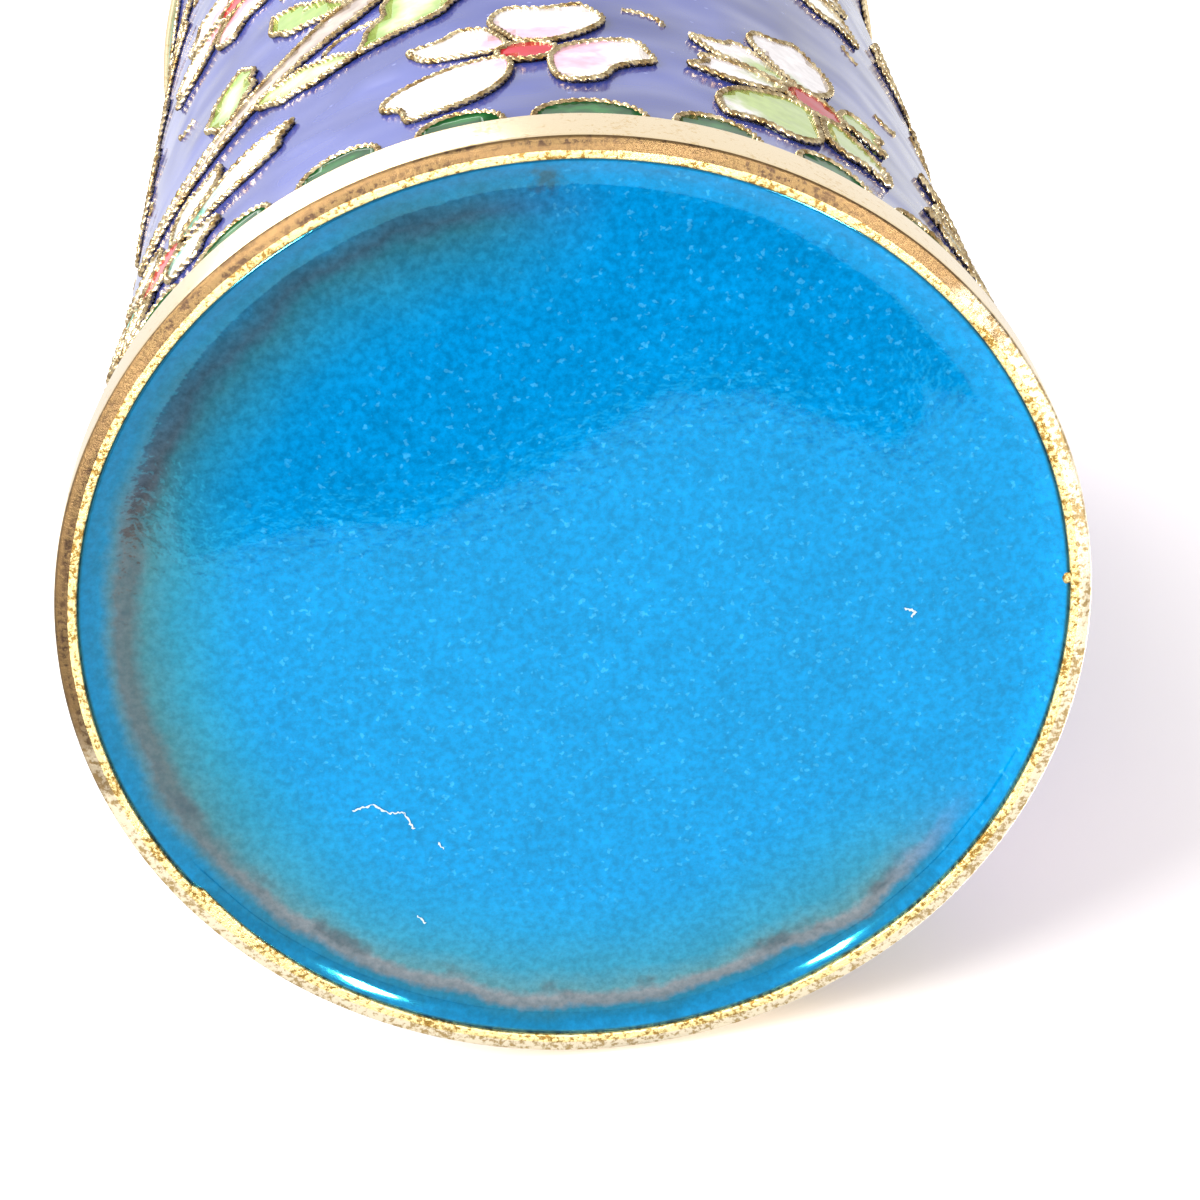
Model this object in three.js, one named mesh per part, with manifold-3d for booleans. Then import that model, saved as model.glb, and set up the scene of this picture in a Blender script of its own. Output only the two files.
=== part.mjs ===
// Cloisonne brush holder: an open copper cylinder, enamelled inside, outside and underneath,
// with gilt rims at the foot and the mouth and a relief of blossoms, boughs and scallops.
// Millimetres, +Z up, origin at the middle of the foot's underside. Angles are degrees about +Z,
// measured from +X, so -90 faces the viewer.
import * as THREE from "three";
import { mergeVertices } from "three/addons/utils/BufferGeometryUtils.js";
import Module from "manifold-3d";

const wasm = await Module();
wasm.setup();

// Overall sizes
const HEIGHT = 112;
const FOOT_RADIUS = 34;
const WAIST_DRAW = 1.8;
const MOUTH_DRAW = 0.2;
const WAIST_RADIUS = FOOT_RADIUS - WAIST_DRAW;
const MOUTH_RADIUS = FOOT_RADIUS - MOUTH_DRAW;

// Wall layers, from the outside in
const GROUND_THICK = 0.6;
const COPPER_THICK = 0.8;
const LINING_THICK = 0.5;

// Gilt rims
const FOOT_BAND = 4.6;
const FOOT_RIM_WALL = 1.5;
const MOUTH_BAND = 4;
const MOUTH_CAP = 1.2;
const RIM_CHAMFER = 0.4;
const BAND_STEP = 0.6;

// The ground curves out above the foot band and again below the mouth band
const FOOT_FLARE = 33.4;
const MOUTH_FLARE = 10;

// Underside: the enamelled base lies this far above the surface the foot stands on
const BASE_RECESS = 1;
const BASE_ENAMEL = 0.7;
const BASE_MENISCUS = 2;
const MENISCUS_DROP = 0.4;

// Relief on the wall
const RELIEF_GAP = 0.3;
const RELIEF_THICK = 0.45;
const BOSS_THICK = 0.65;
const BOUGH_THICK = 0.36;
const LEAF_LIFT = 0.06;
const SCALLOPS = 26;
const SCALLOP_RISE = 3;
const LAPPETS = 13;
const LAPPET_DROP = 6;
const BORDER_STRIP = 0.6;
const BOUGH_STEP = 7;

const SEGMENTS = 36;
const PETAL_STEPS = 4;
const ARCH_STEPS = 4;
const LAPPET_STEPS = 5;
const LEAF_SIDES = 6;
const PANELS = 3;
const PANEL_TURN = 360 / PANELS;

// Blossoms, boughs and leaves: full sizes, of which each one takes a share
const BLOSSOM_SPAN = 18;
const BOUGH_WIDTH = 3;
const LEAF_LENGTH = 14;
const LEAF_WIDTH = 4.6;

// One panel of the pattern, repeated round the wall. A height is a share of the field that
// blossoms can stand in, and a leaf springs from its bough at a share of the bough's length.
const BLOSSOMS = [
  { name: "aqua", angle: -139, height: 0, size: 0.91, petals: 5, turn: -30, color: 0xb9e6dc },
  { name: "white", angle: -89, height: 0.03, size: 0.95, petals: 5, turn: -22, color: 0xf4eef2 },
  { name: "lime", angle: -54, height: 0.045, size: 1.01, petals: 6, turn: -12, color: 0xd3e4a2 },
  { name: "blush", angle: -131, height: 0.655, size: 0.99, petals: 5, turn: 30, color: 0xf0cfd2 },
  { name: "cream", angle: -50, height: 0.57, size: 0.99, petals: 5, turn: -6, color: 0xf0e3c8 },
  { name: "snow", angle: -90, height: 0.95, size: 1.02, petals: 5, turn: 14, color: 0xf2f0f2 },
];
const BOUGHS = [
  {
    name: "bough",
    stations: [
      { angle: -150, height: 0.175, width: 0.87 },
      { angle: -138, height: 0.18, width: 1 },
      { angle: -127, height: 0.215, width: 1 },
      { angle: -114, height: 0.28, width: 1.25 },
      { angle: -101, height: 0.38, width: 1.05 },
      { angle: -93, height: 0.515, width: 0.8 },
      { angle: -90, height: 0.65, width: 0.53 },
    ],
    leaves: [
      { along: 0.23, turn: 104, length: 0.88, width: 1 },
      { along: 0.25, turn: -32, length: 0.8, width: 0.95 },
      { along: 0.485, turn: 128, length: 0.9, width: 0.87 },
      { along: 0.585, turn: 255, length: 1, width: 1.05 },
      { along: 0.655, turn: -8, length: 1, width: 0.92 },
      { along: 0.8, turn: 140, length: 0.93, width: 0.95 },
      { along: 0.85, turn: 32, length: 1, width: 1 },
    ],
  },
  {
    name: "sprig",
    stations: [
      { angle: -64, height: 0.79, width: 0.6 },
      { angle: -54, height: 0.87, width: 0.8 },
      { angle: -44, height: 0.925, width: 0.8 },
      { angle: -30, height: 0.95, width: 0.53 },
    ],
    leaves: [
      { along: 0.24, turn: 78, length: 0.9, width: 1 },
      { along: 0.45, turn: -48, length: 0.87, width: 0.95 },
      { along: 0.73, turn: 62, length: 0.9, width: 0.95 },
    ],
  },
];
const BOUGH_COLOR = 0x9a8a78;

const ENAMEL = { roughness: 0.15, metalness: 0 };
const GILT = { color: 0xd9b878, roughness: 0.3, metalness: 1 };

const degrees = (angle) => (angle * Math.PI) / 180;

// Outer radius of the periwinkle ground at a height
function groundRadius(z) {
  const nearFoot = Math.min(1, Math.max(0, (FOOT_BAND + FOOT_FLARE - z) / FOOT_FLARE));
  const nearMouth = Math.min(1, Math.max(0, (z - HEIGHT + MOUTH_BAND + MOUTH_FLARE) / MOUTH_FLARE));
  const footRise = FOOT_RADIUS - BAND_STEP - WAIST_RADIUS;
  const mouthRise = MOUTH_RADIUS - BAND_STEP - WAIST_RADIUS;
  return WAIST_RADIUS + footRise * nearFoot ** 2 + mouthRise * nearMouth;
}

// Heights at which the wall's facets change slope
const LEVELS = [
  FOOT_BAND,
  FOOT_BAND + FOOT_FLARE * 0.45,
  FOOT_BAND + FOOT_FLARE,
  HEIGHT - MOUTH_BAND - MOUTH_FLARE,
  HEIGHT - MOUTH_BAND,
];
const COPPER_BASE = BASE_RECESS + BASE_ENAMEL;
const CAP_UNDERSIDE = HEIGHT - MOUTH_CAP;
const FOOT_INNER = FOOT_RADIUS - FOOT_RIM_WALL;

// Heights between which a blossom's middle can stand, clear of both borders
const BLOSSOM_REACH = degrees(BLOSSOM_SPAN) * WAIST_RADIUS;
const FIELD_LOW = FOOT_BAND + RELIEF_GAP + SCALLOP_RISE + BLOSSOM_REACH;
const FIELD_HIGH = HEIGHT - MOUTH_BAND - RELIEF_GAP - LAPPET_DROP - BLOSSOM_REACH;
const fieldHeight = (share) => THREE.MathUtils.lerp(FIELD_LOW, FIELD_HIGH, share);

const wallLine = (inset) => LEVELS.map((z) => [groundRadius(z) - inset, z]);

// A closed mesh: shared vertices merged, no flat slivers, faces pointing out
function closedGeometry(geometry) {
  geometry.deleteAttribute("normal");
  geometry.deleteAttribute("uv");
  const merged = mergeVertices(geometry, 1e-4);
  const position = merged.getAttribute("position");
  const corners = [];
  let volume = 0;
  const [a, b, c] = [new THREE.Vector3(), new THREE.Vector3(), new THREE.Vector3()];
  for (let i = 0; i < merged.index.count; i += 3) {
    const triangle = [0, 1, 2].map((k) => merged.index.getX(i + k));
    if (new Set(triangle).size < 3) continue;
    a.fromBufferAttribute(position, triangle[0]);
    b.fromBufferAttribute(position, triangle[1]);
    c.fromBufferAttribute(position, triangle[2]);
    volume += a.dot(b.cross(c));
    corners.push(...triangle);
  }
  if (volume < 0) corners.reverse();
  merged.setIndex(corners);
  return merged;
}

// A section of [radius, height] points turned about +Z; a ring's section closes on itself
function turned(section, segments, isRing) {
  const points = section.map(([radius, z]) => new THREE.Vector2(radius, z));
  if (isRing) points.push(points[0].clone());
  return new THREE.LatheGeometry(points, segments).rotateX(Math.PI / 2);
}

function eachVertex(geometry, move) {
  const position = geometry.getAttribute("position");
  const point = new THREE.Vector3();
  for (let i = 0; i < position.count; i += 1) {
    point.fromBufferAttribute(position, i);
    move(point);
    position.setXYZ(i, point.x, point.y, point.z);
  }
  return geometry;
}

// Bends flat relief (x along the wall, y up, z outwards) onto the wall at an angle and height
function wrapped(geometry, angle, height) {
  return eachVertex(geometry, (point) => {
    const z = height + point.y;
    const radius = groundRadius(z);
    const around = degrees(angle) + point.x / radius;
    const out = radius + RELIEF_GAP + point.z;
    point.set(out * Math.cos(around), out * Math.sin(around), z);
  });
}

function toManifold(geometry) {
  const solid = closedGeometry(geometry);
  return new wasm.Manifold(new wasm.Mesh({
    numProp: 3,
    vertProperties: new Float32Array(solid.getAttribute("position").array),
    triVerts: new Uint32Array(solid.index.array),
  }));
}

function fromManifold(solid) {
  const mesh = solid.getMesh();
  const geometry = new THREE.BufferGeometry();
  geometry.setAttribute("position", new THREE.BufferAttribute(mesh.vertProperties, 3));
  geometry.setIndex(new THREE.BufferAttribute(mesh.triVerts, 1));
  return geometry;
}

function copperBody() {
  const outer = wallLine(GROUND_THICK);
  const inner = wallLine(GROUND_THICK + COPPER_THICK);
  const floorTop = COPPER_BASE + COPPER_THICK;
  return turned([
    [0, COPPER_BASE],
    [outer[0][0], COPPER_BASE],
    ...outer,
    [outer.at(-1)[0], CAP_UNDERSIDE],
    [inner.at(-1)[0], CAP_UNDERSIDE],
    ...inner.reverse(),
    [inner.at(-1)[0], floorTop],
    [0, floorTop],
  ], SEGMENTS);
}

function liningEnamel() {
  const outer = wallLine(GROUND_THICK + COPPER_THICK);
  const inner = wallLine(GROUND_THICK + COPPER_THICK + LINING_THICK);
  const underside = COPPER_BASE + COPPER_THICK;
  return turned([
    [0, underside],
    [outer[0][0], underside],
    ...outer,
    [outer.at(-1)[0], CAP_UNDERSIDE],
    [inner.at(-1)[0], CAP_UNDERSIDE],
    ...inner.reverse(),
    [inner.at(-1)[0], underside + LINING_THICK],
    [0, underside + LINING_THICK],
  ], SEGMENTS);
}

const groundEnamel = () => turned([...wallLine(0), ...wallLine(GROUND_THICK).reverse()], SEGMENTS, true);

function baseEnamel() {
  return turned([
    [0, BASE_RECESS],
    [FOOT_INNER - BASE_MENISCUS, BASE_RECESS],
    [FOOT_INNER, BASE_RECESS - MENISCUS_DROP],
    [FOOT_INNER, COPPER_BASE],
    [0, COPPER_BASE],
  ], SEGMENTS);
}

// The foot rim carries the copper floor's edge on an inner ledge
function footRim() {
  const seat = groundRadius(FOOT_BAND) - GROUND_THICK;
  return turned([
    [FOOT_INNER, 0],
    [FOOT_RADIUS - RIM_CHAMFER, 0],
    [FOOT_RADIUS, RIM_CHAMFER],
    [FOOT_RADIUS, FOOT_BAND - RIM_CHAMFER],
    [FOOT_RADIUS - RIM_CHAMFER, FOOT_BAND],
    [seat, FOOT_BAND],
    [seat, COPPER_BASE],
    [FOOT_INNER, COPPER_BASE],
  ], SEGMENTS, true);
}

// The mouth rim caps the edges of the copper and its lining
function mouthRim() {
  const skirt = HEIGHT - MOUTH_BAND;
  const seat = groundRadius(skirt) - GROUND_THICK;
  const bore = seat - COPPER_THICK - LINING_THICK;
  return turned([
    [seat, skirt],
    [MOUTH_RADIUS - RIM_CHAMFER, skirt],
    [MOUTH_RADIUS, skirt + RIM_CHAMFER],
    [MOUTH_RADIUS, HEIGHT - RIM_CHAMFER],
    [MOUTH_RADIUS - RIM_CHAMFER, HEIGHT],
    [bore + RIM_CHAMFER, HEIGHT],
    [bore, HEIGHT - RIM_CHAMFER],
    [bore, CAP_UNDERSIDE],
    [seat, CAP_UNDERSIDE],
  ], SEGMENTS, true);
}

// A border of arches on a thin strip; growth is +1 upwards or -1 downwards from its straight edge
function archBorder({ edge, growth, arches, rise, samples }) {
  const ring = turned([[1, 0], [2, 0], [2, 1], [1, 1]], arches * samples, true);
  return eachVertex(ring, (point) => {
    const around = Math.atan2(point.y, point.x);
    const share = (((around * arches) / (2 * Math.PI)) % 1 + 1) % 1;
    const arch = Math.sqrt(Math.max(0, Math.sin(Math.PI * share)));
    const isOuter = Math.hypot(point.x, point.y) > 1.5;
    const z = edge + growth * point.z * (BORDER_STRIP + (rise - BORDER_STRIP) * arch);
    const radius = groundRadius(z) + RELIEF_GAP + (isOuter ? RELIEF_THICK : 0);
    point.set(radius * Math.cos(around), radius * Math.sin(around), z);
  });
}

// Petals as the lobes of one low plate with a boss in the middle
function blossom({ angle, height, size, petals, turn }) {
  const radius = size * BLOSSOM_REACH;
  const plate = turned([
    [0, BOSS_THICK],
    [0.26, BOSS_THICK],
    [0.93, RELIEF_THICK],
    [1, 0],
    [0.55, 0],
    [0, 0],
  ], petals * PETAL_STEPS);
  eachVertex(plate, (point) => {
    const around = Math.atan2(point.y, point.x);
    const share = (((around * petals) / (2 * Math.PI)) % 1 + 1) % 1;
    const lobe = 0.4 + 0.6 * Math.sqrt(Math.max(0, Math.sin(Math.PI * share)));
    const reach = Math.hypot(point.x, point.y) * radius;
    const blend = THREE.MathUtils.lerp(0.8, lobe, Math.min(1, reach / radius / 0.55));
    const spread = around + degrees(turn);
    point.set(reach * blend * Math.cos(spread), reach * blend * Math.sin(spread), point.z);
  });
  return wrapped(plate, angle, fieldHeight(height));
}

// A pointed leaf whose base lies at a place on the flat bough
function leaf(base, { turn, length, width }) {
  const thick = RELIEF_THICK - LEAF_LIFT;
  const plate = new THREE.CylinderGeometry(0.86, 1, thick, LEAF_SIDES).rotateX(Math.PI / 2);
  eachVertex(plate, (point) => {
    const pinch = 1 - 0.45 * Math.abs(point.x);
    point.set(
      length * LEAF_LENGTH * (point.x + 1) / 2,
      width * LEAF_WIDTH * pinch * point.y / 2,
      point.z + LEAF_LIFT + thick / 2,
    );
  });
  return plate.rotateZ(degrees(turn)).translate(base.x, base.y, 0);
}

// A bough: a strip that swells and thins along its stations, with its leaves joined to it
function bough({ stations, leaves }) {
  const root = stations[0];
  const rootHeight = fieldHeight(root.height);
  const centreline = new THREE.CatmullRomCurve3(stations.map((station) => new THREE.Vector3(
    degrees(station.angle - root.angle) * WAIST_RADIUS,
    fieldHeight(station.height) - rootHeight,
    station.width * BOUGH_WIDTH,
  )));
  const steps = Math.ceil(centreline.getLength() / BOUGH_STEP);
  const strip = new THREE.BoxGeometry(1, 1, BOUGH_THICK, steps, 1, 1);
  eachVertex(strip, (point) => {
    const place = centreline.getPointAt(point.x + 0.5);
    const along = centreline.getTangentAt(point.x + 0.5).setZ(0).normalize();
    const across = point.y * place.z;
    point.set(place.x - along.y * across, place.y + along.x * across, point.z + BOUGH_THICK / 2);
  });
  let solid = toManifold(wrapped(strip, root.angle, rootHeight));
  for (const shape of leaves) {
    const flat = leaf(centreline.getPointAt(shape.along), shape);
    solid = solid.add(toManifold(wrapped(flat, root.angle, rootHeight)));
  }
  return fromManifold(solid);
}

const holder = new THREE.Group();

function addPiece(name, geometry, look) {
  const mesh = new THREE.Mesh(geometry, new THREE.MeshStandardMaterial(look));
  mesh.name = name;
  holder.add(mesh);
}

addPiece("copper_body", closedGeometry(copperBody()), { color: 0xb87333, roughness: 0.4, metalness: 1 });
addPiece("ground_enamel", closedGeometry(groundEnamel()), { color: 0x6f76c8, ...ENAMEL });
addPiece("lining_enamel", closedGeometry(liningEnamel()), { color: 0x1e9fdc, ...ENAMEL });
addPiece("base_enamel", closedGeometry(baseEnamel()), { color: 0x1ba2ea, ...ENAMEL });
addPiece("foot_rim", closedGeometry(footRim()), GILT);
addPiece("mouth_rim", closedGeometry(mouthRim()), GILT);
addPiece("foot_scallops", closedGeometry(archBorder({
  edge: FOOT_BAND + RELIEF_GAP,
  growth: 1,
  arches: SCALLOPS,
  rise: SCALLOP_RISE,
  samples: ARCH_STEPS,
})), { color: 0x3f6b3c, ...ENAMEL });
addPiece("mouth_lappets", closedGeometry(archBorder({
  edge: HEIGHT - MOUTH_BAND - RELIEF_GAP,
  growth: -1,
  arches: LAPPETS,
  rise: LAPPET_DROP,
  samples: LAPPET_STEPS,
})), { color: 0x3f6b3c, ...ENAMEL });

for (let panel = 0; panel < PANELS; panel += 1) {
  const turn = panel * PANEL_TURN;
  for (const flower of BLOSSOMS) {
    const place = { ...flower, angle: flower.angle + turn };
    addPiece(`blossom_${flower.name}_${panel + 1}`, closedGeometry(blossom(place)),
      { color: flower.color, ...ENAMEL });
  }
  for (const branch of BOUGHS) {
    const stations = branch.stations.map((station) => ({ ...station, angle: station.angle + turn }));
    addPiece(`${branch.name}_${panel + 1}`, bough({ ...branch, stations }),
      { color: BOUGH_COLOR, ...ENAMEL });
  }
}

export default holder;
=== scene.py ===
# Cloisonne brush holder: the finish of an enamelled copper pot with twisted gilt wires.
# Lengths named here are millimetres unless a comment says otherwise; meshes are in metres.
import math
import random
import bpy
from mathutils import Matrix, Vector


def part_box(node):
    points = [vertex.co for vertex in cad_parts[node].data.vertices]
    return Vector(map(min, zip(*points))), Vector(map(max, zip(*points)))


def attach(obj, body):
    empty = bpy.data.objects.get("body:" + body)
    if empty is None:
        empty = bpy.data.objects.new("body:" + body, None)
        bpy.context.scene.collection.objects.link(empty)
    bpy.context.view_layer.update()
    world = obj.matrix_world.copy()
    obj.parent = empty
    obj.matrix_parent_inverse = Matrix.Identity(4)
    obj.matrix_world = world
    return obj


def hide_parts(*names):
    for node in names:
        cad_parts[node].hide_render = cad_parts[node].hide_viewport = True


bl_info = {
    "name": "Cloisonne brush holder",
    "version": (1, 0, 0),
    "blender": (4, 5, 0),
    "location": "View3D > Sidebar > Brush holder",
    "description": "Dresses an enamelled copper brush holder with wired blossoms, boughs and scallops",
    "category": "Add Mesh",
}

import bmesh
import bpy
from bpy.props import FloatProperty, FloatVectorProperty, IntProperty, PointerProperty
from mathutils import Matrix, Vector, kdtree, noise

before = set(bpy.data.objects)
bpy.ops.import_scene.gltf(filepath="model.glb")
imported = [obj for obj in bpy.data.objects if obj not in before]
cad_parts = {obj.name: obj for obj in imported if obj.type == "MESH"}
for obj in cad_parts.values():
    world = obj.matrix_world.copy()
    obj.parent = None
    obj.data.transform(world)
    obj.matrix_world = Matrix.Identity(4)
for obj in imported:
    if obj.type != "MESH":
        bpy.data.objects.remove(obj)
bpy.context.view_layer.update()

MM = 0.001


def corners_of(node):
    """Low and high corner of a solid, in millimetres."""
    return [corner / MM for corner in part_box(node)]


# Sizes read from the frame
_, FOOT_HIGH = corners_of("foot_rim")
MOUTH_LOW, MOUTH_HIGH = corners_of("mouth_rim")
_, BASE_HIGH = corners_of("base_enamel")
LINING_LOW, _ = corners_of("lining_enamel")
_, SCALLOP_HIGH = corners_of("foot_scallops")
LAPPET_LOW, _ = corners_of("mouth_lappets")

FOOT_RADIUS = FOOT_HIGH.x
FOOT_BAND = FOOT_HIGH.z
MOUTH_RADIUS = MOUTH_HIGH.x
MOUTH_EDGE = MOUTH_LOW.z
HEIGHT = MOUTH_HIGH.z
FOOT_INNER = BASE_HIGH.x
COPPER_BASE = BASE_HIGH.z

# Sizes of the wall, as the solids have them
WAIST_DRAW = 1.8
WAIST_RADIUS = FOOT_RADIUS - WAIST_DRAW
BAND_STEP = 0.6
FOOT_FLARE = 33.4
MOUTH_FLARE = 10.0
GROUND_THICK = 0.6
COPPER_THICK = 0.8
LINING_THICK = 0.5
MOUTH_CAP = 1.2
BLOSSOM_SPAN = 18.0

# Heights between which a blossom's middle can stand
BLOSSOM_REACH = math.radians(BLOSSOM_SPAN) * WAIST_RADIUS
FIELD_LOW = SCALLOP_HIGH.z + BLOSSOM_REACH
FIELD_HIGH = LAPPET_LOW.z - BLOSSOM_REACH

PANELS = 3
PANEL_TURN = 360 / PANELS

# One panel of the pattern. A petal is (direction, reach, width, wash): directions are degrees, and
# the wash is how far the petal's root colour runs out past its usual share.
BLOSSOMS = {
    "aqua": {
        "angle": -139.3, "height": -0.01, "centre": (2.5, 2.9),
        "petals": [(19, 13.0, 5.2, 0.1), (64, 10.2, 4.8, -0.2), (124, 9.2, 5.4, 0), (182, 8.8, 5.4, 0.1),
                   (242, 8.4, 5.2, 0), (314, 8.8, 5.4, 0)],
    },
    "white": {
        "angle": -87.9, "height": 0.03, "centre": (2.0, 2.0), "beaks": (-1, 1, 1, 1),
        "petals": [(78, 10.8, 7.6, 0.15), (143, 8.7, 5.8, 0), (226, 12.8, 7.4, 0), (335, 7.8, 10.8, 0.05)],
    },
    "lime": {
        "angle": -52, "height": 0.06, "centre": (2.4, 2.6), "beaks": (1, -1, 1, 1, -1, 1),
        "petals": [(22, 7.2, 4.8, 0.25), (93, 13.0, 6.6, -0.12), (146, 9.4, 4.6, 0.1), (189, 9.4, 4.2, -0.05),
                   (243, 14.0, 7.2, 0.85), (289, 10.0, 5.6, 0.35)],
    },
    "blush": {
        "angle": -131, "height": 0.655, "centre": (2.3, 2.2),
        "petals": [(62, 9.8, 6.4, 0), (136, 9.4, 6.2, 0.1), (208, 10.0, 6.4, 0), (278, 9.2, 6.2, 0.2),
                   (350, 9.8, 6.4, 0)],
    },
    "cream": {
        "angle": -50, "height": 0.57, "centre": (2.3, 2.3),
        "petals": [(28, 9.6, 6.2, 0), (100, 9.8, 6.4, 0.15), (172, 9.4, 6.2, 0), (246, 9.8, 6.4, 0),
                   (316, 9.6, 6.2, 0.1)],
    },
    "snow": {
        "angle": -90, "height": 0.95, "centre": (2.4, 2.2),
        "petals": [(50, 10.0, 6.4, 0.1), (122, 9.8, 6.4, 0), (194, 9.6, 6.2, 0), (266, 9.8, 6.4, 0.2),
                   (338, 9.8, 6.4, 0)],
    },
}

# A station is (angle, share of the field's height, width); a leaf is
# (share of the bough's length, direction, length, width, bend)
BOUGHS = {
    "bough": {
        "stations": [(-150, 0.175, 2.6), (-138, 0.18, 3.0), (-127, 0.215, 3.0), (-114, 0.28, 3.8),
                     (-101, 0.38, 3.2), (-93, 0.515, 2.4), (-90, 0.65, 1.6)],
        "leaves": [(0.22, 86, 12.0, 4.8, 0.05), (0.25, -22, 11.0, 4.2, -0.06),
                   (0.485, 128, 12.6, 3.8, 0.08), (0.6, 256, 16.4, 6.0, 0.2),
                   (0.655, -8, 13.6, 4.2, 0.06), (0.8, 140, 13.0, 4.4, -0.06),
                   (0.85, 32, 13.6, 4.6, 0.08)],
    },
    "sprig": {
        "stations": [(-64, 0.79, 1.8), (-54, 0.87, 2.4), (-44, 0.925, 2.4), (-30, 0.95, 1.6)],
        "leaves": [(0.24, 78, 12.6, 4.6, 0.06), (0.45, -48, 12.2, 4.4, 0.05), (0.73, 62, 12.6, 4.4, 0.06)],
    },
}

PETAL_GAP = 0.3  # half the least distance between two petals
BEAK_REACH = 0.9  # of a petal's beak past its tip
SCALLOPS = 26
SCALLOP_TURN = -82.0
LAPPETS = 13
LEAF_CLEAR = 1.7  # from the bough's middle to a leaf's base

# Short stray wires: how many in a panel, and how far from the pattern and from each other
COMMAS = 16
COMMA_CLEAR = 4.2
COMMA_APART = 6.0
# The one that the camera sees: angle, height, sweep in degrees and radius
FRONT_COMMA = (-108, 33.5, 170, 3.4)

# Small scratches on the base, as runs of (x, y)
BASE_SCRATCHES = [
    [(-16.6, 12.4), (-15.2, 12.1), (-14.2, 12.9), (-13.2, 13.0), (-12.7, 14.4)],
    [(-13.4, 21.4), (-12.9, 22.1)],
    [(21.6, 1.9), (22.3, 2.2), (22.0, 2.6)],
    [(-11.2, 15.7), (-10.9, 16.3)],
]

# A dark smudge of scale on the base by the foot's edge
SMUDGE = (1.5, -31.0)

# The foot rim's ends overlap in a soldered seam: where, over how many radians, and how deep inwards
SEAM_TURN = 149
SEAM_SPAN = 0.9
SEAM_STEP = 0.42
LUMP_RADIUS = 0.6  # of a lump of solder inside the rim

# The base's enamel lies thin in a ring. Radius and colour of its narrow, its wide dark and its wide
# faint form, between the first and the last radius
RING_START, RING_END = 20, 32.5
THIN_RINGS = (
    ((RING_START, 0x0081c2), (24.5, 0x1281b6), (27.6, 0x2c7f9f), (29.2, 0x4f7c86), (29.8, 0x7d7576),
     (30.3, 0x6e676a), (30.8, 0x1c5c7a), (31.5, 0x045f8c), (RING_END, 0x0c70a8)),
    ((RING_START, 0x0081c2), (24, 0x1280b2), (26.4, 0x287b98), (28.2, 0x3f6e77), (29.2, 0x55524f),
     (30.1, 0x5a5453), (30.7, 0x486878), (31.4, 0x1a70a0), (RING_END, 0x0c70a8)),
    ((RING_START, 0x0081c2), (24, 0x087fb8), (26.4, 0x1a7ba4), (28.4, 0x2a6a80), (29.4, 0x35566a),
     (30.3, 0x2f6480), (31.0, 0x226c94), (31.7, 0x166ea2), (RING_END, 0x0c70a8)),
)

# Relief heights above the ground
GLASS_LEVEL = 0.3
GLASS_SINK = 0.08
GLASS_DOME = 0.06
GLASS_ROOT = -0.2

# How finely the meshes are made
SPIN_STEPS = 240
MESH_CELL = 1.1
CELL_INSET = 0.28
RUN_STEPS = 6
STATIONS_PER_BEAD = 4  # along one bead of twisted wire

# The camera's place relative to the pot, and its lean; degrees and millimetres
CAMERA_PLACE = (1.7, -100.7, -183.8)
CAMERA_TILT = 28.25
CAMERA_ROLL = -6.81
CAMERA_LENS = 96.0
CAMERA_SENSOR = 36.0

# How far behind the axis the pale surface stands, and half its width in metres
TABLE_DISTANCE = 34.5
STAGE_REACH = 1.6
# Outline on the base inside which it mirrors something dark
DARK_PATCH = [(-25, -8.5), (-16, -9.5), (-9, -8.6), (-3, -10.5), (2, -13), (8, -15.5), (13, -15.5),
              (18, -12.5), (22, -10), (24.5, -12), (25, -20), (20, -29), (10, -36), (-10, -36),
              (-22, -28), (-28, -18)]


def linear(hex_value):
    """An sRGB hex value such as 0xd9b878 as a linear colour with alpha."""
    channels = [((hex_value >> shift) & 255) / 255 for shift in (16, 8, 0)]
    return [c / 12.92 if c <= 0.04045 else ((c + 0.055) / 1.055) ** 2.4 for c in channels] + [1.0]


def colour(description, hex_value):
    """A colour that a user can change."""
    return FloatVectorProperty(
        name=description, description=f"Colour of {description.lower()}", subtype="COLOR", size=4,
        min=0.0, max=1.0, default=linear(hex_value),
    )


def length(title, description, millimetres):
    """A size that a user can change."""
    return FloatProperty(
        name=title, description=description, default=millimetres * MM, min=0.0,
        unit="LENGTH", subtype="DISTANCE", precision=5,
    )


class HolderSizes(bpy.types.PropertyGroup):
    wire_width: length("Wire width", "Width of the twisted gilt wire", 0.55)
    wire_pitch: length("Wire pitch", "Spacing of the bright beads along the twisted wire", 0.68)
    ripple_depth: length("Ripple depth", "How deep the fired ground's slow waves are", 0.08)
    ripple_size: length("Ripple size", "Distance between the fired ground's slow waves", 7.0)
    base_recess: length("Base recess", "Depth of the enamelled base above the foot's edge", 1.0)
    foot_face: length("Foot face", "Width of the flat edge that the foot stands on", 0.55)
    scallop_rise: length("Scallop rise", "Height of the foot border's scallops", 3.4)
    scallop_width: length("Scallop width", "Width of the widest foot scallop", 7.0)
    seed: IntProperty(name="Seed", description="Seed of the small hand-made differences", default=7)


class HolderColours(bpy.types.PropertyGroup):
    ground: colour("Periwinkle ground", 0x404b98)
    ground_deep: colour("Periwinkle ground where thick", 0x2d377c)
    turquoise: colour("Turquoise base and lining", 0x0081c2)
    scallop: colour("Scallop green", 0x10401a)
    gilt: colour("Polished gilding", 0xf1dcb6)
    wire: colour("Gilding on the wires' crowns", 0xead6ac)
    wire_worn: colour("Gilding worn off the wires", 0x987a4c)
    floor: colour("Studio floor", 0xf1eff0)


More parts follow.
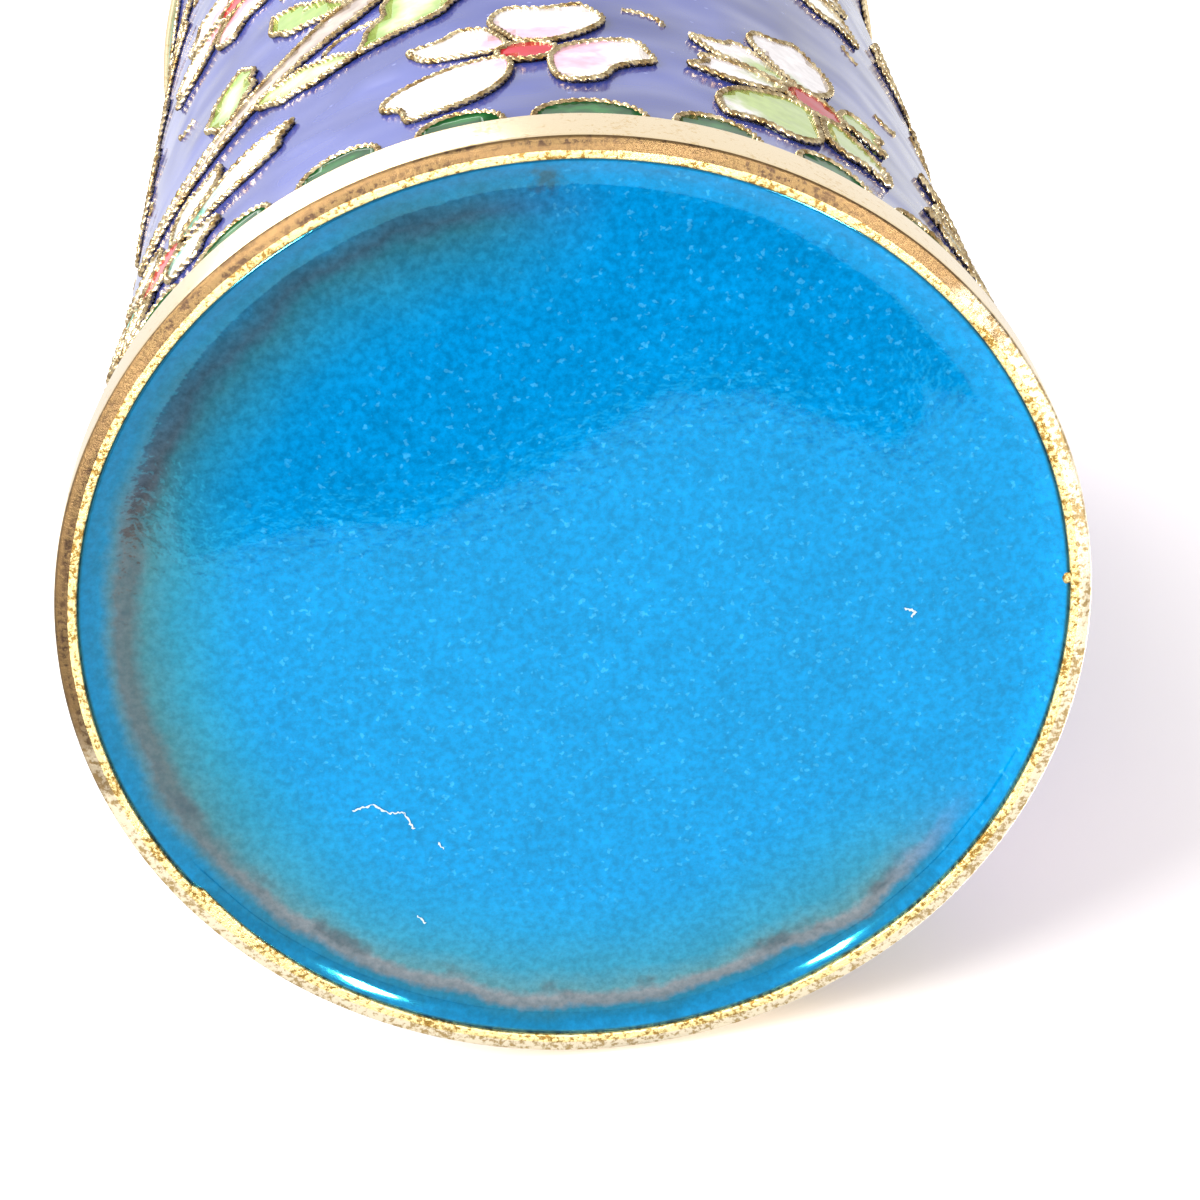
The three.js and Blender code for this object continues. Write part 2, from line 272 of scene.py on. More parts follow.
def ground_radius(z):
    """Outer radius of the periwinkle ground at a height."""
    near_foot = min(1.0, max(0.0, (FOOT_BAND + FOOT_FLARE - z) / FOOT_FLARE))
    near_mouth = min(1.0, max(0.0, (z - MOUTH_EDGE + MOUTH_FLARE) / MOUTH_FLARE))
    foot_rise = FOOT_RADIUS - BAND_STEP - WAIST_RADIUS
    mouth_rise = MOUTH_RADIUS - BAND_STEP - WAIST_RADIUS
    return WAIST_RADIUS + foot_rise * near_foot ** 2 + mouth_rise * near_mouth


def field_height(share):
    """Height of a share of the field in which blossoms' middles stand."""
    return FIELD_LOW + (FIELD_HIGH - FIELD_LOW) * share


def on_wall(angle, height, x, y, out):
    """A point of a flat pattern bent onto the wall: x runs round it, y up it. In metres."""
    z = height + y
    radius = ground_radius(z)
    around = math.radians(angle) + x / radius
    return Vector(((radius + out) * math.cos(around), (radius + out) * math.sin(around), z)) * MM


def filleted(section, ring):
    """Corners (radius, height, fillet) as a section with its corners rounded."""
    points = []
    count = len(section)
    for i, (r, z, fillet) in enumerate(section):
        corner = Vector((r, z))
        inside = ring or 0 < i < count - 1
        if not fillet or not inside:
            points.append(corner)
            continue
        before = Vector(section[i - 1][:2])
        after = Vector(section[(i + 1) % count][:2])
        start = corner + (before - corner).normalized() * fillet
        end = corner + (after - corner).normalized() * fillet
        for step in range(6):
            t = step / 5
            points.append(start * (1 - t) ** 2 + corner * 2 * t * (1 - t) + end * t ** 2)
    return [(point.x, point.y) for point in points]


def turned(section, ring=False):
    """A section of (radius, height) turned about the pot's axis, as a closed bmesh."""
    bm = bmesh.new()
    corners = [bm.verts.new((r * MM, 0, z * MM)) for r, z in section]
    edges = [bm.edges.new(pair) for pair in zip(corners, corners[1:])]
    if ring:
        edges.append(bm.edges.new((corners[-1], corners[0])))
    bmesh.ops.spin(bm, geom=corners + edges, cent=(0, 0, 0), axis=(0, 0, 1), angle=2 * math.pi,
                   steps=SPIN_STEPS, use_merge=True)
    bmesh.ops.remove_doubles(bm, verts=bm.verts, dist=1e-6)
    bmesh.ops.recalc_face_normals(bm, faces=bm.faces)
    return bm


def add_piece(bm, name, materials, replaced=()):
    mesh = bpy.data.meshes.new(name)
    bm.to_mesh(mesh)
    bm.free()
    return add_mesh_piece(mesh, name, materials, replaced)


def add_mesh_piece(mesh, name, materials, replaced=()):
    """Makes the mesh an object of the pot, riding on its one body."""
    for face in mesh.polygons:
        face.use_smooth = True
    for material in materials:
        mesh.materials.append(material)
    piece = bpy.data.objects.new(name, mesh)
    bpy.context.collection.objects.link(piece)
    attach(piece, "root")
    if replaced:
        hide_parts(*replaced)
    return piece


def evenly(points, spacing, closed):
    """The outline again with points a fixed distance apart; a closed one gets a whole number of beads."""
    run = [Vector(point) for point in points]
    if closed:
        run.append(run[0].copy())
    lengths = [0.0]
    for a, b in zip(run, run[1:]):
        lengths.append(lengths[-1] + (b - a).length)
    count = max(STATIONS_PER_BEAD, round(lengths[-1] / spacing / STATIONS_PER_BEAD) * STATIONS_PER_BEAD)
    even = []
    piece = 0
    for i in range(count if closed else count + 1):
        target = lengths[-1] * i / count
        while piece < len(run) - 2 and lengths[piece + 1] < target:
            piece += 1
        span = lengths[piece + 1] - lengths[piece]
        share = (target - lengths[piece]) / span if span else 0.0
        even.append(run[piece].lerp(run[piece + 1], share))
    return even


def petal_outline(direction, reach, width, start, room, beak, rng):
    """An egg-shaped petal, broad end outwards, its tip drawn to a beak on its left (1) or right (-1).
    It keeps to its room: the turn it has on its right and left before it meets its neighbours' wires."""
    turn = math.radians(direction)
    lean = rng.uniform(-0.12, 0.12)
    wobble = rng.uniform(0, 2 * math.pi)
    points = []
    for step in range(40):
        t = 2 * math.pi * step / 40
        x, y = math.cos(t), math.sin(t)
        along = start + (reach - start) * (0.5 + 0.5 * x)
        from_tip = (t + math.pi) % (2 * math.pi) - math.pi
        along += BEAK_REACH * math.exp(-((from_tip - 0.34 * beak) / 0.2) ** 2)
        along -= BEAK_REACH * math.exp(-((from_tip + 0.22 * beak) / 0.3) ** 2)
        along += 0.16 * math.sin(3 * t + wobble)
        across = 0.64 * width * y * (0.74 + 0.26 * x) + lean * width * (0.5 + 0.5 * x) * 0.5
        across += 0.1 * math.sin(2 * t + wobble)
        away = math.hypot(along, across)
        swing = math.atan2(across, along)
        swing = min(max(swing, PETAL_GAP / away - room[0]), room[1] - PETAL_GAP / away)
        along, across = away * math.cos(swing), away * math.sin(swing)
        points.append(Vector((
            along * math.cos(turn) - across * math.sin(turn),
            along * math.sin(turn) + across * math.cos(turn),
        )))
    return points


def leaf_outline(base, direction, leaf_length, width, bend):
    """A pointed leaf from its base; bend bows its midrib by a share of its length."""
    turn = math.radians(direction)
    left, right = [], []
    for step in range(17):
        s = step / 16
        rib = Vector((leaf_length * s, 4 * bend * leaf_length * s * (1 - s)))
        half = 0.5 * width * math.sin(math.pi * s) ** 0.75 * (1 + 0.12 * math.sin(6 * math.pi * s))
        left.append(rib + Vector((0, half)))
        right.append(rib - Vector((0, half)))
    outline = left + right[-2:0:-1]
    spin = Matrix.Rotation(turn, 2)
    return [Vector(base) + spin @ point for point in outline]


def smooth_run(places):
    """A Catmull-Rom run through places of any size."""
    run = []
    for i in range(len(places) - 1):
        p0 = places[max(i - 1, 0)]
        p1, p2 = places[i], places[i + 1]
        p3 = places[min(i + 2, len(places) - 1)]
        for step in range(RUN_STEPS):
            t = step / RUN_STEPS
            run.append(0.5 * (2 * p1 + (p2 - p0) * t + (2 * p0 - 5 * p1 + 4 * p2 - p3) * t ** 2
                              + (3 * p1 - p0 - 3 * p2 + p3) * t ** 3))
    run.append(places[-1].copy())
    return run


def bough_run(stations):
    """The bough's centreline from its first station: places (x, y, width)."""
    root_angle, root_share, _ = stations[0]
    places = [Vector((
        math.radians(angle - root_angle) * WAIST_RADIUS,
        field_height(share) - field_height(root_share),
        width,
    )) for angle, share, width in stations]
    return smooth_run(places)


def point_along(run, share):
    """The point of a bough's centreline at a share of its length."""
    flat = [place.to_2d() for place in run]
    lengths = [0.0]
    for a, b in zip(flat, flat[1:]):
        lengths.append(lengths[-1] + (b - a).length)
    target = share * lengths[-1]
    i = next(i for i in range(1, len(flat)) if lengths[i] >= target)
    return flat[i - 1].lerp(flat[i], (target - lengths[i - 1]) / (lengths[i] - lengths[i - 1]))


def bough_outline(run, rng):
    """A bough's outline round its centreline, a little uneven and blunt at both ends."""
    left, right = [], []
    for i, place in enumerate(run):
        ahead = run[min(i + 1, len(run) - 1)]
        behind = run[max(i - 1, 0)]
        along = (ahead - behind).to_2d().normalized()
        blunt = min(1.0, 0.4 + 0.25 * min(i, len(run) - 1 - i))
        half = 0.5 * place.z * blunt * (1 + rng.uniform(-0.1, 0.1))
        side = Vector((-along.y, along.x)) * half
        left.append(place.to_2d() + side)
        right.append(place.to_2d() - side)
    return left + right[::-1]


def fill_cells(cells, angle, height, middle=None):
    """Glass poured into wire cells on the wall. A cell is (outline, material number, wash)."""
    bm = bmesh.new()
    tone = bm.verts.layers.float.new("tone")
    edge_points = []
    for outline, material_number, wash in cells:
        corners = [bm.verts.new((point.x, point.y, 0)) for point in outline]
        face = bm.faces.new(corners)
        face.material_index = material_number
        edge_points.extend((point, wash) for point in evenly(outline, 0.4, True))
    bmesh.ops.inset_individual(bm, faces=bm.faces[:], thickness=CELL_INSET, use_even_offset=True)
    low = [min(v.co[k] for v in bm.verts) for k in (0, 1)]
    high = [max(v.co[k] for v in bm.verts) for k in (0, 1)]
    for axis in (0, 1):
        normal = [0, 0, 0]
        normal[axis] = 1
        for cut in range(int((high[axis] - low[axis]) / MESH_CELL)):
            place = [0, 0, 0]
            place[axis] = low[axis] + MESH_CELL * (cut + 0.5)
            bmesh.ops.bisect_plane(bm, geom=bm.verts[:] + bm.edges[:] + bm.faces[:],
                                   plane_co=place, plane_no=normal, dist=1e-4)
    nearest = kdtree.KDTree(len(edge_points))
    for i, (point, _) in enumerate(edge_points):
        nearest.insert((point.x, point.y, 0), i)
    nearest.balance()
    origin = Vector(middle) if middle is not None else None
    for vert in bm.verts:
        _, i, away = nearest.find(vert.co)
        sunk = GLASS_SINK * (1 - math.exp(-away / 0.3))
        out = (vert.co.to_2d() - origin).length / BLOSSOM_REACH if origin else away / 2.0
        vert[tone] = out - edge_points[i][1]
        vert.co.z = GLASS_LEVEL - sunk + GLASS_DOME * min(1.0, away / 2.2)
    walls = bmesh.ops.extrude_face_region(bm, geom=bm.faces[:])
    for vert in (part for part in walls["geom"] if isinstance(part, bmesh.types.BMVert)):
        vert.co.z = GLASS_ROOT
    for vert in bm.verts:
        vert.co = on_wall(angle, height, *vert.co)
    bmesh.ops.recalc_face_normals(bm, faces=bm.faces)
    return bm


def wire_strand():
    """The cross-section of two wires twisted together: a waisted oval."""
    width = bpy.context.scene.holder_sizes.wire_width
    curve = bpy.data.curves.new("strand", "CURVE")
    curve.dimensions = "2D"
    spline = curve.splines.new("POLY")
    spline.points.add(7)
    spline.use_cyclic_u = True
    for i, point in enumerate(spline.points):
        around = math.pi * i / 4
        reach = width * (0.27 + 0.23 * abs(math.cos(around)))
        point.co = (reach * math.cos(around), reach * math.sin(around), 0, 1)
    strand = bpy.data.objects.new("strand", curve)
    bpy.context.collection.objects.link(strand)
    return strand


def wire_mesh(name, runs):
    """Twisted wire along runs of (points in metres, closed) as one mesh."""
    strand = wire_strand()
    curve = bpy.data.curves.new(name, "CURVE")
    curve.dimensions = "3D"
    curve.bevel_mode = "OBJECT"
    curve.bevel_object = strand
    curve.use_fill_caps = True
    for points, closed in runs:
        spline = curve.splines.new("POLY")
        spline.points.add(len(points) - 1)
        spline.use_cyclic_u = closed
        spline.points.foreach_set("co", [n for point in points for n in (*point, 1.0)])
        half_turns = [math.pi * i / STATIONS_PER_BEAD for i in range(len(points))]
        spline.points.foreach_set("tilt", half_turns)
    rope = bpy.data.objects.new(name, curve)
    bpy.context.collection.objects.link(rope)
    shown = rope.evaluated_get(bpy.context.evaluated_depsgraph_get())
    mesh = bpy.data.meshes.new_from_object(shown)
    for done in (rope, strand):
        data = done.data
        bpy.data.objects.remove(done)
        bpy.data.curves.remove(data)
    return mesh


def wire_runs(outlines, angle, height, out, closed=True):
    """Wires laid on the wall along outlines, as runs for wire_mesh."""
    spacing = bpy.context.scene.holder_sizes.wire_pitch / MM / STATIONS_PER_BEAD
    runs = []
    for outline in outlines:
        points = evenly(outline, spacing, closed)
        runs.append(([on_wall(angle, height, point.x, point.y, out) for point in points], closed))
    return runs


def wire_rise():
    """Height of a wire's middle above the ground that it is soldered to."""
    return 0.4 * bpy.context.scene.holder_sizes.wire_width / MM


def add_wires(name, runs):
    """Runs of twisted wire as one piece."""
    metal = shared_material("gilt twisted wire", gilt_wire_metal)
    add_mesh_piece(wire_mesh(name, runs), name, [metal])


def add_node(tree, kind, inputs=None, output=None, **settings):
    """One shader node with its settings; an input takes a value or another node's output.
    Gives back the node's output of that name, or the first in use."""
    node = tree.nodes.new("ShaderNode" + kind)
    for name, value in settings.items():
        setattr(node, name, value)
    for key, value in (inputs or {}).items():
        if isinstance(value, bpy.types.NodeSocket):
            tree.links.new(value, node.inputs[key])
        else:
            node.inputs[key].default_value = value
    return node.outputs[output] if output else next((end for end in node.outputs if end.enabled), None)


def new_material(name):
    """An empty material, its node tree, and the place on the object that its patterns read."""
    material = bpy.data.materials.new(name)
    material.use_nodes = True
    tree = material.node_tree
    tree.nodes.clear()
    return material, tree, add_node(tree, "TexCoord", output="Object")


def per_size(millimetres):
    """Texture scale whose pattern repeats about every so many millimetres."""
    return 1 / (millimetres * MM)


def patchy(tree, place, size, detail, start, end, low=0.0, high=1.0, roughness=0.5):
    """Patches of a size in millimetres: goes from low to high as their noise goes from start to end."""
    patches = add_node(tree, "TexNoise", {"Vector": place, "Scale": per_size(size), "Detail": detail,
                                          "Roughness": roughness})
    return add_node(tree, "MapRange", {"Value": patches, "From Min": start, "From Max": end,
                                       "To Min": low, "To Max": high})


def overlaid(tree, under, over, value, start, end, low=0.0, high=1.0, smooth=False):
    """One colour over another, by a share that goes from low to high as a value goes from start to end."""
    share = add_node(tree, "MapRange", {"Value": value, "From Min": start, "From Max": end,
                                        "To Min": low, "To Max": high},
                     interpolation_type="SMOOTHSTEP" if smooth else "LINEAR")
    return add_node(tree, "Mix", {"Factor": share, "A": under, "B": over}, data_type="RGBA")


def surfaced(material, tree, kind, looks):
    """The material, finished with one shader and its looks."""
    add_node(tree, "OutputMaterial", {"Surface": add_node(tree, kind, looks)})
    return material


def enamel(name, root, tip, tone_from=0.2, tone_to=0.9, mottle=0.12, index=1.5):
    """Vitreous enamel, fired glossy: lead glass made opaque with tin oxide, slightly pooled and mottled."""
    material, tree, place = new_material(name)
    tone = add_node(tree, "Attribute", output="Fac", attribute_name="tone")
    shift = patchy(tree, place, 2.6, 3.0, 0.3, 0.7, -0.22, 0.22)
    shaded = add_node(tree, "Math", {0: tone, 1: shift}, operation="ADD")
    body = overlaid(tree, root, tip, shaded, tone_from, tone_to, smooth=True)
    strength = patchy(tree, place, 0.9, 4.0, 0.35, 0.65, 1 - mottle, 1 + mottle)
    tinted = add_node(tree, "VectorMath", {0: body, "Scale": strength}, operation="SCALE")
    wave = add_node(tree, "TexNoise", {"Vector": place, "Scale": per_size(3.2), "Detail": 1.0})
    bump = add_node(tree, "Bump", {"Height": wave, "Strength": 0.25, "Distance": 0.3 * MM})
    return surfaced(material, tree, "BsdfPrincipled", {
        "Base Color": tinted, "Normal": bump, "Roughness": 0.07, "IOR": index,
    })


def ground_glass():
    """The wall's periwinkle glass: deep and glossy, drawn into slow waves by the firing."""
    colours = bpy.context.scene.holder_colours
    material, tree, place = new_material("periwinkle enamel")
    pool = add_node(tree, "TexNoise", {"Vector": place, "Scale": per_size(9), "Detail": 2.0})
    body = overlaid(tree, colours.ground, colours.ground_deep, pool, 0.35, 0.65)
    pit = add_node(tree, "TexVoronoi", {"Vector": place, "Scale": per_size(2.2)})
    body = overlaid(tree, body, linear(0x8f98d8), pit, 0.05, 0.09, 0.35, 0.0)
    wave = add_node(tree, "TexNoise", {"Vector": place, "Scale": per_size(4.5), "Detail": 0.0})
    bump = add_node(tree, "Bump", {"Height": wave, "Strength": 0.4, "Distance": 0.6 * MM})
    return surfaced(material, tree, "BsdfPrincipled", {
        "Base Color": body, "Normal": bump, "Roughness": 0.12, "IOR": 1.5,
    })


def axis_distance(tree, place):
    """How far a place lies from the pot's axis, in metres."""
    level = add_node(tree, "VectorMath", {0: place, 1: (1, 1, 0)}, operation="MULTIPLY")
    return add_node(tree, "VectorMath", {0: level}, operation="LENGTH")


def facing(tree, place, radius, degrees):
    """How far a place lies towards a direction from the axis: 1 towards it, -1 away from it."""
    turn = math.radians(degrees)
    along = add_node(tree, "VectorMath", {0: place, 1: (math.cos(turn), math.sin(turn), 0)},
                     operation="DOT_PRODUCT")
    return add_node(tree, "Math", {0: along, 1: radius}, operation="DIVIDE")


def ring_colours(tree, share, stops):
    """Colours along the radius, whose share of the thin ring's range is the ramp's input."""
    shown = add_node(tree, "ValToRGB", {"Fac": share})
    elements = shown.node.color_ramp.elements
    for radius, hex_value in stops:
        where = (radius - RING_START) / (RING_END - RING_START)
        stop = elements.new(where) if 0 < where < 1 else elements[-1 if where else 0]
        stop.color = linear(hex_value)
    return shown


def thinned(tree, place, radius, body):
    """The base's glass where it lies thin, smudged with scale, and with a painted shade: a thin dark band
    against the rim.
    """
    wander = patchy(tree, place, 7, 3.0, 0.25, 0.75, -0.7 * MM, 0.7 * MM)
    fray = patchy(tree, place, 0.6, 4.0, 0.25, 0.75, -0.16 * MM, 0.16 * MM)
    reach = add_node(tree, "Math", {0: radius, 1: wander}, operation="ADD")
    reach = add_node(tree, "Math", {0: reach, 1: fray}, operation="ADD")
    share = add_node(tree, "MapRange", {"Value": reach, "From Min": RING_START * MM,
                                        "From Max": RING_END * MM})
    narrow, wide, faint = (ring_colours(tree, share, stops) for stops in THIN_RINGS)
    ring = overlaid(tree, narrow, wide, facing(tree, place, radius, 205), 0.3, 0.75, smooth=True)
    patch = patchy(tree, place, 3.5, 4.0, 0.52, 0.66, high=0.8)
    for start, end, low, high in ((28.6, 29.2, 0.0, 1.0), (29.9, 30.3, 1.0, 0.0)):
        limit = add_node(tree, "MapRange", {"Value": reach, "From Min": start * MM, "From Max": end * MM,
                                            "To Min": low, "To Max": high})
        patch = add_node(tree, "Math", {0: patch, 1: limit}, operation="MULTIPLY")
    ring = add_node(tree, "Mix", {"Factor": patch, "A": ring, "B": linear(0x463a3b)}, data_type="RGBA")
    ring = overlaid(tree, ring, faint, facing(tree, place, radius, 258), 0.45, 0.88, smooth=True)
    sector = add_node(tree, "MapRange", {"Value": facing(tree, place, radius, 157), "From Min": -0.6,
                                         "From Max": -0.25}, interpolation_type="SMOOTHSTEP")
    inner = add_node(tree, "MapRange", {"Value": share, "From Max": 0.35}, interpolation_type="SMOOTHSTEP")
    thin = add_node(tree, "Math", {0: sector, 1: inner}, operation="MULTIPLY")
    body = add_node(tree, "Mix", {"Factor": thin, "A": body, "B": ring}, data_type="RGBA")
    near = add_node(tree, "VectorMath", {0: place, 1: (SMUDGE[0] * MM, SMUDGE[1] * MM, 1 * MM)},
                    operation="DISTANCE")
    near = add_node(tree, "Math", {0: fray, 1: 3.0, 2: near}, operation="MULTIPLY_ADD")
    body = overlaid(tree, body, linear(0x3a3836), near, 0.35 * MM, 1.25 * MM, 0.75, 0.0)
    # Painted shade: a thin dark band where the glass meets the rim
    return overlaid(tree, body, linear(0x16262c), radius, 32.25 * MM, 32.4 * MM, high=0.75)


def turquoise_glass(name, under_foot):
    """Counter-enamel: a thick turquoise glass with a fine mottle and paler flakes; under the foot it
    thins to a ring where the fired copper shows grey-brown through it."""
    colours = bpy.context.scene.holder_colours
    material, tree, place = new_material(name)
    grain = patchy(tree, place, 0.55, 3.0, 0.35, 0.65, 0.8, 1.18, roughness=0.65)
    cloud = patchy(tree, place, 3.5, 3.0, 0.3, 0.7, 0.92, 1.08)
    warp = add_node(tree, "TexNoise", {"Vector": place, "Scale": per_size(0.5), "Detail": 2.0}, "Color")
    warp = add_node(tree, "VectorMath", {0: warp, "Scale": 0.9 * MM}, operation="SCALE")
    bent = add_node(tree, "VectorMath", {0: place, 1: warp}, operation="ADD")
    flake = add_node(tree, "TexVoronoi", {"Vector": bent, "Scale": per_size(0.85)})
    body = overlaid(tree, colours.turquoise, linear(0x3aa4dc), flake, 0.14, 0.24, 0.6, 0.0)
    hole = add_node(tree, "TexVoronoi", {"Vector": place, "Scale": per_size(6)})
    body = overlaid(tree, body, linear(0x1d4f66), hole, 0.016, 0.026, 0.9, 0.0)
    dimples = 0.22
    if under_foot:
        radius = axis_distance(tree, place)
        body = thinned(tree, place, radius, body)
        dimples = add_node(tree, "MapRange", {"Value": radius, "From Min": 30.4 * MM, "From Max": 31 * MM,
                                              "To Min": dimples, "To Max": 0.03})
    for strength in (grain, cloud):
        body = add_node(tree, "VectorMath", {0: body, "Scale": strength}, operation="SCALE")
    fine = add_node(tree, "TexNoise", {"Vector": place, "Scale": per_size(0.8), "Detail": 2.0})
    bump = add_node(tree, "Bump", {"Height": fine, "Strength": dimples, "Distance": 0.12 * MM})
    return surfaced(material, tree, "BsdfPrincipled", {
        "Base Color": body, "Normal": bump, "Roughness": 0.07, "IOR": 1.85,
        "Specular Tint": (0.05, 0.75, 1.0, 1.0), "Coat Weight": 0.25, "Coat Roughness": 0.04,
    })


def gilded(name, dull, bright, share, gloss, depth, unrubbed_and_reflected=None):
    """Gilded copper: flecks of a brighter tone over a duller one, on a surface of some grain. With a
    pair of pale tones, the side towards +Y takes those, and the rest has brown streaks along it.
    That pale side is partly gilding not rubbed off and partly a painted reflection of the pale backdrop."""
    material, tree, place = new_material(name)
    grain = add_node(tree, "TexNoise", {"Vector": place, "Scale": per_size(0.4), "Detail": 5.0,
                                        "Roughness": 0.7})
    blotch = add_node(tree, "TexNoise", {"Vector": place, "Scale": per_size(3), "Detail": 3.0})
    fleck = add_node(tree, "Math", {0: blotch, 1: 0.35, 2: grain}, operation="MULTIPLY_ADD")
    start = 0.67 - share * 0.1
    body = overlaid(tree, dull, bright, fleck, start, start + 0.1)
    if unrubbed_and_reflected:
        across = add_node(tree, "CombineXYZ", {"Z": axis_distance(tree, place)})
        drawn = add_node(tree, "VectorMath", {0: place, 1: (0.08, 0.08, 0), 2: across},
                         operation="MULTIPLY_ADD")
        streak = add_node(tree, "TexNoise", {"Vector": drawn, "Scale": per_size(0.5), "Detail": 3.0})
        body = overlaid(tree, body, linear(0x7a6040), streak, 0.42, 0.6, high=0.75)
        # Towards +Y: pale gilding, partly not rubbed off and partly a painted reflection of the pale backdrop
        side = add_node(tree, "VectorMath", {0: place, 1: (0.4, 1.0, 0.0)}, operation="DOT_PRODUCT")
        side = add_node(tree, "Math", {0: blotch, 1: 16 * MM, 2: side}, operation="MULTIPLY_ADD")
        whole = overlaid(tree, *unrubbed_and_reflected, fleck, start, start + 0.1)
        body = overlaid(tree, body, whole, side, -4 * MM, 7 * MM, smooth=True)
    bump = add_node(tree, "Bump", {"Height": grain, "Strength": depth, "Distance": 0.12 * MM})
    return surfaced(material, tree, "BsdfPrincipled", {
        "Base Color": body, "Normal": bump, "Roughness": gloss, "Metallic": 1.0,
    })


def polished_band():
    """Fire-gilding rubbed to a pale polish, on both rims' upright bands."""
    gilt = bpy.context.scene.holder_colours.gilt
    return gilded("polished gilt band", linear(0xe3c591), gilt, 1.5, 0.22, 0.02)


def gilt_wire_metal():
    """Twisted copper wire, gilt after firing: bright and dull gilding mixed in random patches."""
    colours = bpy.context.scene.holder_colours
    material, tree, place = new_material("gilt twisted wire")
    rub = add_node(tree, "TexNoise", {"Vector": place, "Scale": per_size(1.1), "Detail": 3.0})
    body = overlaid(tree, colours.wire, colours.wire_worn, rub, 0.36, 0.64)
    return surfaced(material, tree, "BsdfPrincipled", {
        "Base Color": body, "Roughness": 0.27, "Metallic": 1.0,
    })


def sheet_copper():
    """Spun sheet copper, dull from the kiln; the enamels hide it."""
    material, tree, place = new_material("fired sheet copper")
    scale = add_node(tree, "TexNoise", {"Vector": place, "Scale": per_size(6), "Detail": 4.0})
    body = add_node(tree, "Mix", {"Factor": scale, "A": linear(0xb36a45), "B": linear(0x6d3f2d)},
                    data_type="RGBA")
    return surfaced(material, tree, "BsdfPrincipled", {
        "Base Color": body, "Roughness": 0.45, "Metallic": 1.0,
    })


def shared_material(name, make, *args, **kwargs):
    """The material of that name, made once."""
    return bpy.data.materials.get(name) or make(*args, **kwargs)


def named_enamel(name, root, tip, **looks):
    """The enamel of that name, made once from two hex colours."""
    return shared_material(name, enamel, name, linear(root), linear(tip), **looks)


# The enamel of each blossom's petals: name, colour at the root and colour at the tip
PETAL_ENAMELS = {
    "aqua": ("aqua petal enamel", 0x50a896, 0xd8dcdc),
    "white": ("white petal enamel", 0xdaa4b9, 0xe0dce0),
    "lime": ("lime petal enamel", 0x9cb355, 0xe2dadb),
    "blush": ("blush petal enamel", 0xe68a9c, 0xfaeef0),
    "cream": ("cream petal enamel", 0xe8c48a, 0xfaf4e6),
    "snow": ("snow petal enamel", 0xe9d7ea, 0xfbfafc),
}


class HOLDER_OT_foot_rim(bpy.types.Operator):
    """Make the gilt foot rim: a worn standing edge under a polished band"""
    bl_idname = "holder.foot_rim"
    bl_label = "Foot rim"

    def execute(self, context):
        face = context.scene.holder_sizes.foot_face / MM
        seat = ground_radius(FOOT_BAND) - GROUND_THICK
        section = filleted([
            (FOOT_INNER, 0.0, 0.16),
            (FOOT_INNER + face, 0.0, 0.1),
            (FOOT_RADIUS - 0.12, 0.16, 0.1),
            (FOOT_RADIUS, 0.42, 0.12),
            (FOOT_RADIUS, FOOT_BAND - 0.4, 0.2),
            (FOOT_RADIUS - 0.45, FOOT_BAND, 0.1),
            (seat, FOOT_BAND, 0.0),
            (seat, COPPER_BASE, 0.0),
            (FOOT_INNER, COPPER_BASE, 0.0),
        ], ring=True)
        bm = turned(section, ring=True)
        seam = math.radians(SEAM_TURN)
        for vert in bm.verts:
            around = math.atan2(vert.co.y, vert.co.x)
            uneven = noise.noise(vert.co / (6 * MM)) * 0.05 * MM
            radius = vert.co.to_2d().length
            at_edge = radius < (FOOT_INNER + 0.3) * MM and vert.co.z < 0.9 * MM
            if at_edge and seam - SEAM_SPAN < around < seam:
                uneven -= SEAM_STEP * MM * (1 - (seam - around) / SEAM_SPAN) ** 2
            if radius > (FOOT_RADIUS - 0.2) * MM:
                uneven = min(uneven, 0.0) * 0.4
            shrink = (radius + uneven) / radius
            vert.co.x *= shrink
            vert.co.y *= shrink
        lump = bmesh.ops.create_icosphere(bm, subdivisions=3, radius=LUMP_RADIUS * MM)
        for vert in lump["verts"]:
            vert.co *= 1 + 0.5 * noise.noise(vert.co / (0.4 * MM))
            vert.co = Vector((vert.co.x * 0.85, vert.co.y * 1.2, vert.co.z * 0.6))
            vert.co += Vector((FOOT_INNER + 0.12, 0.7, 0.46)) * MM
        for part in bm.faces:
            middle = part.calc_center_median() / MM
            if middle.z < 0.3 or middle.to_2d().length < FOOT_INNER + 0.1:
                part.material_index = 2 if middle.to_2d().length > FOOT_INNER + face + 0.03 else 1
        metals = [
            shared_material("polished gilt band", polished_band),
            # Unpolished under the foot: matt, granular and palely bright
            gilded("granular gilt foot", linear(0x86662f), linear(0xd9c68c), 0.85, 0.42, 0.9),
            # The bevel, where handling has rubbed the gold down to brown copper; towards +Y it is pale,
            # partly gilding not rubbed off and partly a painted reflection of the pale backdrop
            gilded("rubbed copper bevel", linear(0x443428), linear(0x6a5538), 0.75, 0.4, 0.5,
                   unrubbed_and_reflected=(linear(0xa48b5e), linear(0xe0d2b6))),
        ]
        add_piece(bm, "foot_rim_gilt", metals, ["foot_rim"])
        return {"FINISHED"}


class HOLDER_OT_mouth_rim(bpy.types.Operator):
    """Make the gilt mouth rim: a polished band with a rounded lip"""
    bl_idname = "holder.mouth_rim"
    bl_label = "Mouth rim"

    def execute(self, context):
        seat = ground_radius(MOUTH_EDGE) - GROUND_THICK
        bore = seat - COPPER_THICK - LINING_THICK
        underside = HEIGHT - MOUTH_CAP
        section = filleted([
            (seat, MOUTH_EDGE, 0.0),
            (MOUTH_RADIUS, MOUTH_EDGE, 0.3),
            (MOUTH_RADIUS, HEIGHT, 0.9),
            (bore, HEIGHT, 0.7),
            (bore, underside, 0.15),
            (seat, underside, 0.0),
        ], ring=True)
        metal = shared_material("polished gilt band", polished_band)
        add_piece(turned(section, ring=True), "mouth_rim_gilt", [metal], ["mouth_rim"])
        return {"FINISHED"}


